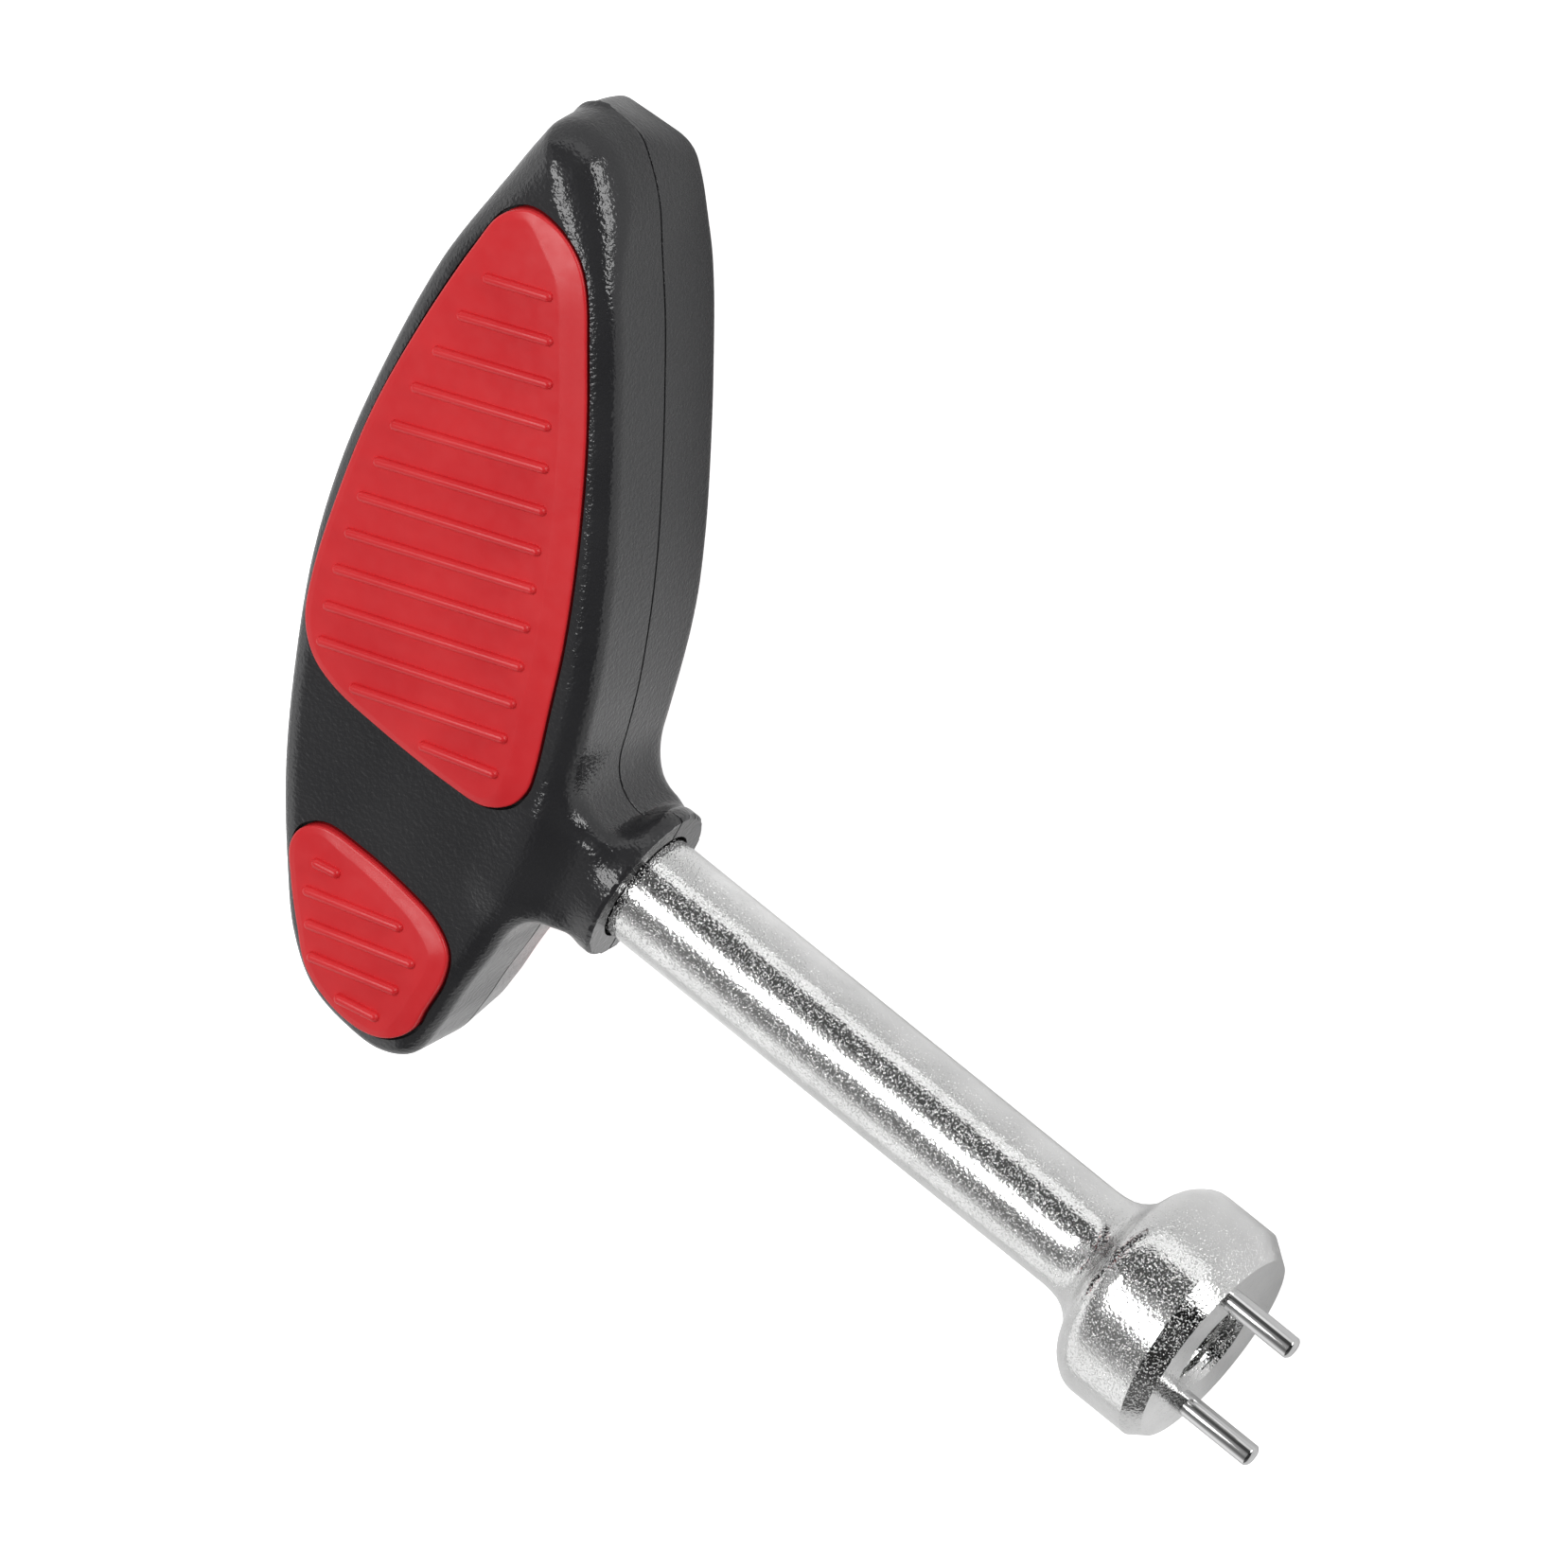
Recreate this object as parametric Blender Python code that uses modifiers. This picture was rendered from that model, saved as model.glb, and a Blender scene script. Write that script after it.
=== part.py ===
"""T-handle pin spanner: two moulded handle shells with four inlaid grip pads,
a cast shank with a flanged, bored head, and two pressed-in drive pins.

Lies flat with its front up: +X along the shank towards the pins, +Y towards the long
end of the handle, +Z out of the front face. Metres.
"""

import math

import bmesh
import bpy
from mathutils import Matrix, Vector

MM = 0.001
COLLECTION = "t_handle_pin_spanner"
CUTTERS = "cutters"

# Handle, in its own axes: u across towards the shank, v along the grip. Millimetres.
HANDLE_TILT = 23.2
HANDLE_OUTLINE = (
    (-15.4, 69.1), (-13.8, 70.6), (-11.0, 70.8), (-8.2, 69.4), (-6.6, 67.7), (-5.3, 64.2),
    (-4.5, 59.6), (-3.5, 53.5), (-2.9, 48.0), (-2.3, 41.0), (-1.8, 31.5), (-1.9, 24.0),
    (-2.5, 16.8), (-4.0, 9.0), (-6.6, 0.5), (-9.7, -7.0), (-12.6, -12.2), (-14.7, -16.2),
    (-17.0, -19.4), (-20.1, -20.0), (-24.0, -18.6), (-28.0, -15.7), (-30.5, -11.0), (-31.9, -4.5),
    (-33.0, 4.0), (-33.2, 13.0), (-32.5, 25.0), (-30.4, 35.5), (-27.2, 45.2), (-23.2, 54.9),
    (-18.6, 63.7),
)
HANDLE_CENTRE = (-17.5, 26.0)
FACE_Z = 9.7
EDGE_RADIUS = 2.5
DRAFT = 0.012
PARTING_GAP = 0.15
WALL = 2.4
CAVITY_Z = 6.5

# Neck that carries the shank out of the handle: distance along the shank, radius.
NECK_PROFILE = (
    (0.6, 7.7), (0.4, 7.9), (-0.7, 7.9), (-2.4, 7.8), (-4.0, 7.7), (-5.2, 7.8), (-6.6, 8.3),
    (-12.0, 8.3),
)
NECK_FLANK = 5.6
NECK_COLLAR = -2.3
NECK_ROOTS = (-7.2, -6.2)
WEB_HALF_WIDTH = 7.6

# Grip pads.
PAD_GAP = 0.3
RECESS_Z = 8.3
PAD_TOP = 10.6
PAD_EDGE = 0.9
REAR_PAD_INSET = 0.7
LARGE_PAD = (
    (-18.0, 59.4), (-15.7, 62.9), (-12.9, 64.1), (-10.2, 63.1), (-8.0, 60.9), (-6.75, 58.1),
    (-5.85, 52.0), (-5.0, 43.2), (-4.8, 32.6), (-5.2, 24.1), (-5.95, 17.9), (-6.75, 11.7),
    (-7.3, 9.6), (-8.7, 7.9), (-11.2, 7.2), (-15.2, 8.35), (-22.5, 11.45), (-27.7, 14.2),
    (-30.1, 16.6), (-31.2, 19.8), (-30.9, 24.5), (-29.3, 32.0), (-26.7, 40.9), (-22.8, 50.1),
)
SMALL_PAD = (
    (-30.4, -1.9), (-29.5, -0.2), (-27.3, 0.6), (-23.5, -0.6), (-18.4, -3.1), (-15.2, -5.3),
    (-13.5, -7.9), (-13.8, -10.6), (-15.3, -13.9), (-16.4, -16.2), (-18.2, -17.4), (-20.8, -17.6),
    (-24.3, -16.2), (-27.5, -13.2), (-28.9, -9.2), (-30.0, -5.0),
)
RIB_RADIUS = 0.55
RIB_SINK = 0.1
LARGE_RIBS = (
    ((-16.6, 56.8), (-9.4, 56.8)), ((-18.8, 52.6), (-8.9, 52.7)), ((-20.9, 48.6), (-8.5, 48.7)),
    ((-22.7, 44.6), (-8.2, 44.7)), ((-24.4, 40.5), (-8.0, 40.7)), ((-25.7, 36.6), (-7.8, 36.7)),
    ((-27.0, 32.9), (-7.9, 32.8)), ((-27.9, 29.1), (-8.0, 29.1)), ((-28.7, 25.4), (-8.2, 25.3)),
    ((-29.3, 21.7), (-8.4, 21.5)), ((-29.6, 18.2), (-8.8, 17.8)), ((-25.8, 14.7), (-9.3, 14.3)),
    ((-18.2, 11.3), (-9.9, 10.7)),
)
SMALL_RIBS = (
    ((-27.8, -2.8), (-24.8, -3.3)), ((-28.4, -5.7), (-17.9, -6.5)), ((-27.9, -8.8), (-16.3, -9.6)),
    ((-27.3, -11.8), (-17.7, -12.6)), ((-24.1, -14.9), (-19.4, -15.7)),
)

# Shank: distance along it from the collar face, radius.
SHANK_RADIUS = 5.3
SHANK_TOP = 67.9
HEAD_RADIUS = 11.13
FLARE = (
    (66.9, HEAD_RADIUS), (60.1, HEAD_RADIUS), (59.2, 10.9), (58.5, 10.45), (57.6, 9.65),
    (57.0, 8.75), (56.6, 7.8), (56.1, 7.0), (55.1, 6.1), (54.1, 5.5), (53.0, SHANK_RADIUS),
)
SHANK_END = -2.0
TANG_HALF = 3.8
TANG_END = -30.0
TANG_FOOT_LENGTH = 3.0
TANG_FOOT_HALF = 5.2
TANG_CLEARANCE = 0.3

# Machined end of the head; the turned features share an axis a little off the casting's.
FACE_OFFSET = (-0.3, 0.0)
FLAT_RADIUS = 9.85
CHAMFER_SLOPE = 1.45
BORE_RADIUS = 4.25
BORE_DEPTH = 13.0
BORE_TIP = 2.2

# Drive pins.
PIN_RADIUS = 1.1
PIN_OFFSET = (-0.65, 0.3)
PIN_CIRCLE_RADIUS = 7.7
PIN_ANGLE = 18.6
PIN_PROUD = {"upper": 7.3, "lower": 7.75}
PIN_SUNK = 7.0
PIN_CHAMFER = 0.25
PIN_CLEARANCE = 0.15

ROUND_STEPS = 48
OUTLINE_STEPS = 3

COLOURS = {
    "black_plastic": (0.045, 0.045, 0.05, 1.0),
    "red_elastomer": (0.52, 0.04, 0.04, 1.0),
    "plated_steel": (0.72, 0.72, 0.71, 1.0),
    "ground_steel": (0.66, 0.66, 0.66, 1.0),
}


def clear_scene():
    for item in list(bpy.data.objects):
        bpy.data.objects.remove(item, do_unlink=True)


def collection(name):
    made = bpy.data.collections.new(name)
    bpy.context.scene.collection.children.link(made)
    return made


def material(node, look, metallic, roughness):
    made = bpy.data.materials.new(node)
    made.use_nodes = True
    shader = made.node_tree.nodes["Principled BSDF"]
    shader.inputs["Base Color"].default_value = COLOURS[look]
    shader.inputs["Metallic"].default_value = metallic
    shader.inputs["Roughness"].default_value = roughness
    return made


def place(name, mesh, group, side=1):
    """Adds a mesh in millimetres as an object in metres, mirrored in z when side is -1."""
    edit = bmesh.new()
    edit.from_mesh(mesh)
    bmesh.ops.transform(edit, matrix=Matrix.Diagonal((MM, MM, MM * side, 1.0)), verts=edit.verts)
    bmesh.ops.recalc_face_normals(edit, faces=edit.faces)
    edit.to_mesh(mesh)
    edit.free()
    mesh.name = name
    item = bpy.data.objects.new(name, mesh)
    group.objects.link(item)
    return item


def cutter(name, mesh, group, side=1):
    item = place(name, mesh, group, side)
    item.hide_render = True
    item.display_type = "WIRE"
    return item


def boolean(item, other, operation):
    change = item.modifiers.new(other.name, "BOOLEAN")
    change.operation = operation
    change.solver = "EXACT"
    change.object = other


def finish(item, node_material, angle=35.0):
    item.data.materials.clear()
    item.data.materials.append(node_material)
    for face in item.data.polygons:
        face.use_smooth = True
    item.data.set_sharp_from_angle(angle=math.radians(angle))


def mesh_of(curve, name):
    """The mesh of a curve, its strips joined."""
    item = bpy.data.objects.new(name, curve)
    bpy.context.scene.collection.objects.link(item)
    bpy.context.view_layer.update()
    shape = item.evaluated_get(bpy.context.evaluated_depsgraph_get())
    mesh = bpy.data.meshes.new_from_object(shape)
    bpy.data.objects.remove(item, do_unlink=True)
    edit = bmesh.new()
    edit.from_mesh(mesh)
    bmesh.ops.remove_doubles(edit, verts=edit.verts, dist=0.002)
    bmesh.ops.recalc_face_normals(edit, faces=edit.faces)
    edit.to_mesh(mesh)
    edit.free()
    return mesh


def tilted(u, v):
    """A point of the handle's own axes in the spanner's axes."""
    turn = math.radians(HANDLE_TILT)
    return (u * math.cos(turn) - v * math.sin(turn), u * math.sin(turn) + v * math.cos(turn))


def slab(name, stations, half, edge=0.0, grow=0.0, rounds=3):
    """A slab about z = 0 with a smooth outline through the stations and rounded rims."""
    curve = bpy.data.curves.new(name, "CURVE")
    curve.dimensions = "2D"
    curve.fill_mode = "BOTH"
    curve.resolution_u = OUTLINE_STEPS
    curve.render_resolution_u = OUTLINE_STEPS
    curve.extrude = half - edge
    curve.bevel_depth = edge
    curve.bevel_resolution = rounds
    curve.offset = grow - edge
    spline = curve.splines.new("BEZIER")
    spline.bezier_points.add(len(stations) - 1)
    spline.use_cyclic_u = True
    for point, (u, v) in zip(spline.bezier_points, stations):
        point.co = (*tilted(u, v), 0.0)
        point.handle_left_type = "AUTO"
        point.handle_right_type = "AUTO"
    return mesh_of(curve, name)


def slice_off(mesh, z, lift=0.0):
    """Keeps what lies above z, closes the cut, and lifts the rest."""
    edit = bmesh.new()
    edit.from_mesh(mesh)
    geometry = edit.verts[:] + edit.edges[:] + edit.faces[:]
    bmesh.ops.bisect_plane(
        edit, geom=geometry, plane_co=(0.0, 0.0, z), plane_no=(0.0, 0.0, 1.0), clear_inner=True
    )
    rim = [e for e in edit.edges if e.is_boundary]
    bmesh.ops.edgeloop_fill(edit, edges=rim)
    bmesh.ops.translate(edit, verts=edit.verts, vec=(0.0, 0.0, lift))
    bmesh.ops.recalc_face_normals(edit, faces=edit.faces)
    edit.to_mesh(mesh)
    edit.free()
    return mesh


def taper(mesh):
    """Draws the handle's walls in towards its faces."""
    centre = tilted(*HANDLE_CENTRE)
    for vertex in mesh.vertices:
        scale = 1.0 - DRAFT * abs(vertex.co.z) / FACE_Z
        vertex.co.x = centre[0] + (vertex.co.x - centre[0]) * scale
        vertex.co.y = centre[1] + (vertex.co.y - centre[1]) * scale
    return mesh


def turned(name, profile, offset=(0.0, 0.0), steps=ROUND_STEPS):
    """A solid turned about the shank's axis from (distance along, radius) pairs."""
    edit = bmesh.new()
    points = [edit.verts.new((radius, 0.0, along)) for along, radius in profile]
    for first, second in zip(points, points[1:]):
        edit.edges.new((first, second))
    mesh = bpy.data.meshes.new(name)
    edit.to_mesh(mesh)
    edit.free()
    item = bpy.data.objects.new(name, mesh)
    bpy.context.scene.collection.objects.link(item)
    screw = item.modifiers.new("Screw", "SCREW")
    screw.steps = steps
    screw.render_steps = steps
    screw.use_merge_vertices = True
    screw.merge_threshold = 0.0001
    bpy.context.view_layer.update()
    shape = item.evaluated_get(bpy.context.evaluated_depsgraph_get())
    solid = bpy.data.meshes.new_from_object(shape)
    bpy.data.objects.remove(item, do_unlink=True)
    solid.transform(Matrix(((0, 0, 1, 0), (0, 1, 0, offset[0]), (-1, 0, 0, offset[1]), (0, 0, 0, 1))))
    return solid


def box(name, low, high):
    edit = bmesh.new()
    bmesh.ops.create_cube(edit, size=1.0)
    low, high = Vector(low), Vector(high)
    size = high - low
    matrix = Matrix.Translation((low + high) / 2) @ Matrix.Diagonal((*size, 1.0))
    bmesh.ops.transform(edit, matrix=matrix, verts=edit.verts)
    mesh = bpy.data.meshes.new(name)
    edit.to_mesh(mesh)
    edit.free()
    return mesh


def pin_centre(sign):
    turn = math.radians(PIN_ANGLE)
    return (
        PIN_OFFSET[0] + sign * PIN_CIRCLE_RADIUS * math.cos(turn),
        PIN_OFFSET[1] + sign * PIN_CIRCLE_RADIUS * math.sin(turn),
    )


def handle_shell(label, side, parts, cutters):
    """One half of the handle: a drafted moulding, hollow beside the web that holds the tang."""
    name = f"handle_shell_{label}"
    body = slice_off(taper(slab(name, HANDLE_OUTLINE, FACE_Z, EDGE_RADIUS)), PARTING_GAP)
    shell = place(name, body, parts, side)
    neck = [(NECK_PROFILE[0][0], 0.0), *NECK_PROFILE, (NECK_PROFILE[-1][0], 0.0)]
    neck_body = slice_off(turned(f"neck_{label}", neck), PARTING_GAP)
    boolean(shell, cutter(f"neck_{label}", neck_body, cutters, side), "UNION")
    for way, root in zip((1, -1), NECK_ROOTS):
        low, high = sorted((way * NECK_FLANK, way * 12.0))
        relief = box("relief", (root, low, -12.0), (NECK_COLLAR, high, 12.0))
        boolean(shell, cutter(f"relief_{label}_{way}", relief, cutters), "DIFFERENCE")
    hollow = cutter(
        f"hollow_{label}", slab("hollow", HANDLE_OUTLINE, CAVITY_Z, 0.0, -WALL), cutters, side
    )
    web = box("web", (-50.0, -WEB_HALF_WIDTH, -20.0), (20.0, WEB_HALF_WIDTH, 20.0))
    boolean(hollow, cutter(f"web_{label}", web, cutters), "DIFFERENCE")
    boolean(shell, hollow, "DIFFERENCE")
    for size, outline in (("large", LARGE_PAD), ("small", SMALL_PAD)):
        grow = PAD_GAP if side > 0 else PAD_GAP - REAR_PAD_INSET
        recess = slice_off(slab("recess", outline, 12.0, 0.0, grow), RECESS_Z)
        boolean(shell, cutter(f"recess_{size}_{label}", recess, cutters, side), "DIFFERENCE")
    for tang_cutter in tang_room(label, cutters):
        boolean(shell, tang_cutter, "DIFFERENCE")
    finish(shell, material(name, "black_plastic", 0.0, 0.5))


def tang_room(label, cutters):
    """The channel for the shank's round end, its square tang and the tang's foot."""
    gap = TANG_CLEARANCE
    reach = SHANK_RADIUS + gap
    round_end = turned(
        "room", [(5.0, 0.0), (5.0, reach), (SHANK_END - gap, reach), (SHANK_END - gap, 0.0)]
    )
    half = TANG_HALF + gap
    square = box("room", (TANG_END, -half, -half), (SHANK_END, half, half))
    half = TANG_FOOT_HALF + gap
    foot = box(
        "room", (TANG_END - gap, -half, -half), (TANG_END + TANG_FOOT_LENGTH + gap, half, half)
    )
    return (
        cutter(f"room_round_{label}", round_end, cutters),
        cutter(f"room_square_{label}", square, cutters),
        cutter(f"room_foot_{label}", foot, cutters),
    )


def rib_rods(name, ribs):
    """Round-backed ribs across a pad, as rods sunk into its top."""
    curve = bpy.data.curves.new(name, "CURVE")
    curve.dimensions = "3D"
    curve.bevel_depth = RIB_RADIUS
    curve.bevel_resolution = 1
    curve.use_fill_caps = True
    for ends in ribs:
        spline = curve.splines.new("POLY")
        spline.points.add(1)
        for point, end in zip(spline.points, ends):
            point.co = (*tilted(*end), PAD_TOP - RIB_SINK, 1.0)
    return mesh_of(curve, name)


def grip_pad(size, label, side, outline, ribs, parts, cutters):
    name = f"grip_pad_{size}_{label}"
    half = PAD_TOP - RECESS_Z
    grow = 0.0 if side > 0 else -REAR_PAD_INSET
    body = slice_off(slab(name, outline, half, PAD_EDGE, grow, 1), PAD_GAP, RECESS_Z)
    pad = place(name, body, parts, side)
    rods = cutter(f"ribs_{size}_{label}", rib_rods("ribs", ribs), cutters, side)
    boolean(pad, rods, "UNION")
    finish(pad, material(name, "red_elastomer", 0.0, 0.4))


def shank(parts, cutters):
    """Cast rod with a flared, flanged head at one end and a square tang at the other."""
    outline = [(SHANK_TOP, 0.0), (SHANK_TOP, HEAD_RADIUS), *FLARE]
    outline += [(SHANK_END, SHANK_RADIUS), (SHANK_END, 0.0)]
    item = place("shank", turned("shank", outline), parts)
    half = TANG_HALF
    square = box("tang", (TANG_END + 0.5, -half, -half), (SHANK_END + 2.0, half, half))
    boolean(item, cutter("tang", square, cutters), "UNION")
    half = TANG_FOOT_HALF
    foot = box("foot", (TANG_END, -half, -half), (TANG_END + TANG_FOOT_LENGTH, half, half))
    boolean(item, cutter("tang_foot", foot, cutters), "UNION")
    rise = HEAD_RADIUS + 1.0 - FLAT_RADIUS
    start = (SHANK_TOP + 0.2 * CHAMFER_SLOPE, FLAT_RADIUS - 0.2)
    ring = [start, (start[0], FLAT_RADIUS + rise)]
    ring += [(SHANK_TOP - rise * CHAMFER_SLOPE, FLAT_RADIUS + rise), start]
    boolean(item, cutter("head_chamfer", turned("ring", ring, FACE_OFFSET), cutters), "DIFFERENCE")
    bottom = SHANK_TOP - BORE_DEPTH
    bore = [(SHANK_TOP + 1.0, 0.0), (SHANK_TOP + 1.0, BORE_RADIUS), (bottom, BORE_RADIUS)]
    bore += [(bottom - BORE_TIP, 0.0)]
    boolean(item, cutter("head_bore", turned("bore", bore, FACE_OFFSET, 32), cutters), "DIFFERENCE")
    for label, sign in (("upper", 1.0), ("lower", -1.0)):
        reach = PIN_RADIUS + PIN_CLEARANCE
        bottom = SHANK_TOP - PIN_SUNK - PIN_CLEARANCE
        hole = [(SHANK_TOP + 1.0, 0.0), (SHANK_TOP + 1.0, reach), (bottom, reach), (bottom, 0.0)]
        drill = cutter(f"pin_hole_{label}", turned("hole", hole, pin_centre(sign), 24), cutters)
        boolean(item, drill, "DIFFERENCE")
    finish(item, material("shank", "plated_steel", 1.0, 0.3))


def drive_pin(label, sign, parts):
    name = f"drive_pin_{label}"
    tip = SHANK_TOP + PIN_PROUD[label]
    foot = SHANK_TOP - PIN_SUNK
    slim = PIN_RADIUS - PIN_CHAMFER
    outline = [(tip, 0.0), (tip, slim), (tip - PIN_CHAMFER, PIN_RADIUS)]
    outline += [(foot + PIN_CHAMFER, PIN_RADIUS), (foot, slim), (foot, 0.0)]
    item = place(name, turned(name, outline, pin_centre(sign), 24), parts)
    finish(item, material(name, "ground_steel", 1.0, 0.18))


def settle(parts, cutters):
    """Stands the whole on z = 0 with its box centred over the origin."""
    bpy.context.view_layer.update()
    graph = bpy.context.evaluated_depsgraph_get()
    points = []
    for item in parts.objects:
        shape = item.evaluated_get(graph)
        points += [tuple(vertex.co) for vertex in shape.data.vertices]
    low = [min(p[i] for p in points) for i in range(3)]
    high = [max(p[i] for p in points) for i in range(3)]
    shift = (-(low[0] + high[0]) / 2, -(low[1] + high[1]) / 2, -low[2])
    for item in list(parts.objects) + list(cutters.objects):
        item.data.transform(Matrix.Translation(shift))


def main():
    clear_scene()
    parts = collection(COLLECTION)
    cutters = collection(CUTTERS)
    for label, side in (("front", 1), ("rear", -1)):
        handle_shell(label, side, parts, cutters)
        grip_pad("large", label, side, LARGE_PAD, LARGE_RIBS, parts, cutters)
        grip_pad("small", label, side, SMALL_PAD, SMALL_RIBS, parts, cutters)
    shank(parts, cutters)
    drive_pin("upper", 1.0, parts)
    drive_pin("lower", -1.0, parts)
    settle(parts, cutters)


main()
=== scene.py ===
"""Looks of a T-handle pin spanner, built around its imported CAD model.

The shapes are worked out in millimetres in the spanner's own axes: x along the shank from
the neck's end face, y towards the long end of the handle, z out of the front face. Each
piece is moved to the frame's metres when it is finished.
"""

import math

import bmesh
import bpy
import numpy as np
from mathutils import Matrix, Vector


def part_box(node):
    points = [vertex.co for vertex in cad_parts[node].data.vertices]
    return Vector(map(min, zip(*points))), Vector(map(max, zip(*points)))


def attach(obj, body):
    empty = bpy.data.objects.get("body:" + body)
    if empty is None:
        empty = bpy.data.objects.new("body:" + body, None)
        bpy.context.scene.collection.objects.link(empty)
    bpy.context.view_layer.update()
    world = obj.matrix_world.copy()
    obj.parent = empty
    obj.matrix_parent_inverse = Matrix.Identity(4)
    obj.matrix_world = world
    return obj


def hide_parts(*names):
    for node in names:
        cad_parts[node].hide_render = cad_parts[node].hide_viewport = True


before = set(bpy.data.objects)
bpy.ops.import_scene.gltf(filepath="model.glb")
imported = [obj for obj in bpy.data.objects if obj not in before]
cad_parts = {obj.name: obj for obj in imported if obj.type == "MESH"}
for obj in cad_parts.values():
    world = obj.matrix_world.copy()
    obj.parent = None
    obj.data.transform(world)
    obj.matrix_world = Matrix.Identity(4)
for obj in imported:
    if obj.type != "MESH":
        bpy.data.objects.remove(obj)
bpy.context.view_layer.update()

# ---------------------------------------------------------------- driving dimensions, mm
HANDLE_TILT = math.radians(23.2)
HANDLE_OUTLINE = (
    (-15.3, 69.1), (-13.7, 71.1), (-11.0, 71.6), (-8.0, 70.0), (-6.6, 67.7), (-5.3, 64.2),
    (-4.5, 59.6), (-3.5, 53.5), (-2.9, 48.0), (-2.3, 41.0), (-1.8, 31.5), (-1.9, 24.0),
    (-2.5, 16.8), (-4.0, 9.0), (-6.6, 0.5), (-9.7, -7.0), (-12.6, -12.2), (-14.7, -16.2),
    (-17.0, -19.4), (-20.1, -20.0), (-24.0, -18.6), (-28.0, -15.7), (-30.5, -11.0), (-31.9, -4.5),
    (-33.0, 4.0), (-33.2, 13.0), (-32.5, 25.0), (-30.4, 35.5), (-27.2, 45.2), (-23.2, 54.9),
    (-18.6, 63.7),
)
FACE_Z = 9.7
# How far up the grip each change of its rim starts, and over what length it grows.
TOP_RUN = (56.0, 11.0)
FOOT_RUN = (2.0, 12.0)
HEEL_RUN = (26.0, 12.0)
EDGE_RADIUS = 2.5
FRONT_TOP_RADIUS = 5.5
REAR_EDGE_RADIUS = 1.3
REAR_HEEL_RADIUS = 2.6
REAR_TOP_RADIUS = 2.6
FRONT_DRAFT = 0.015
REAR_TOP_DRAFT = 0.03
REAR_FOOT_DRAFT = 0.12
REAR_CUT_TURN = math.radians(71.5)
REAR_CUT_PLACE = 64.4
REAR_CUT_DRAFT = 0.3
REAR_CUT_BLEND = 1.2
FAR_INSIDE = -50.0
NECK_BLEND = 4.6
NECK_BLEND_RUN = (16.0, 8.0)
NECK_ROOT = -16.0
NECK_END = 0.6
NECK_RIM = 0.2
NECK_RADIUS = 7.9
NECK_FLANK = 5.6
NECK_DEPTH = 7.7
NECK_CORNER = 2.0
NECK_WAIST_RUN = (0.5, 2.9)
# The rough slab (inset, height) and neck (along, radius) that the skin is drawn from.
BLANK_RINGS = ((2.2, -9.6), (0.3, -7.6), (0.0, 0.0), (0.3, 7.6), (2.2, 9.6))
BLANK_NECK = ((-14.0, 5.6), (-3.0, 5.6), (-1.8, 7.6), (0.5, 7.7))
SHELL_VOXEL = 0.42
PARTING_HALF = 0.004
PARTING_CHAMFER = 0.13
PARTING_DEPTH = 0.32
PARTING_MERGE = 0.004
FLASH_RISE = 0.35
FLASH_WIDTH = 0.7
FLASH_START = (-16.6, 1.2)
FLASH_STOP = (-10.4, 1.4)
FLASH_ABOVE = 60.0
SHANK_HOLE_RADIUS = 5.6

RECESS_Z = 8.3
PAD_GAP = 0.3
CUT_TOP = 14.0
PAD_TOP = 10.5
PAD_RIM = 0.28
PAD_EDGE_WIDTH = 0.75
PAD_EDGE_DROP = 0.1
# Pad facets (width, drop), and how sharply they turn to the plain rim.
PAD_FACETS = {"large": (2.5, 0.7), "small": (1.7, 0.42)}
PAD_FACET_TURN = (1.6, 0.15)
REAR_PAD_INSET = 0.7
LARGE_PAD = (
    (-18.0, 59.4), (-15.7, 62.9), (-12.9, 64.1), (-10.2, 63.1), (-8.0, 60.9), (-6.75, 58.1),
    (-5.85, 52.0), (-5.0, 43.2), (-4.8, 32.6), (-5.2, 24.1), (-5.95, 17.9), (-6.75, 11.7),
    (-7.3, 9.6), (-8.7, 7.9), (-11.2, 7.2), (-15.2, 8.35), (-22.5, 11.45), (-27.7, 14.2),
    (-30.1, 16.6), (-31.2, 19.8), (-30.9, 24.5), (-29.3, 32.0), (-26.7, 40.9), (-22.8, 50.1),
)
SMALL_PAD = (
    (-30.4, -1.9), (-29.5, -0.2), (-27.3, 0.6), (-23.5, -0.6), (-18.4, -3.1), (-15.2, -5.3),
    (-13.5, -7.9), (-13.8, -10.6), (-15.3, -13.9), (-16.4, -16.2), (-18.2, -17.4), (-20.8, -17.6),
    (-24.3, -16.2), (-27.5, -13.2), (-28.9, -9.2), (-30.0, -5.0),
)
RIB_HALF_WIDTH = 0.52
RIB_HEIGHT = 0.63
RIB_SUNK = 0.3
RIB_BEDDED = 0.02
RIB_END_STEPS = 6
LARGE_RIBS = (
    ((-16.6, 56.8), (-9.4, 56.8)), ((-18.8, 52.6), (-8.9, 52.7)), ((-20.9, 48.6), (-8.5, 48.7)),
    ((-22.7, 44.6), (-8.2, 44.7)), ((-24.4, 40.5), (-8.0, 40.7)), ((-25.7, 36.6), (-7.8, 36.7)),
    ((-27.0, 32.9), (-7.9, 32.8)), ((-27.9, 29.1), (-8.0, 29.1)), ((-28.7, 25.4), (-8.2, 25.3)),
    ((-29.3, 21.7), (-8.4, 21.5)), ((-29.6, 18.2), (-8.8, 17.8)), ((-25.8, 14.7), (-9.3, 14.3)),
    ((-18.2, 11.3), (-9.9, 10.7)),
)
SMALL_RIBS = (
    ((-27.8, -2.8), (-24.8, -3.3)), ((-28.4, -5.7), (-17.9, -6.5)), ((-27.9, -8.8), (-16.3, -9.6)),
    ((-27.3, -11.8), (-17.7, -12.6)), ((-24.1, -14.9), (-19.4, -15.7)),
)

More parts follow.
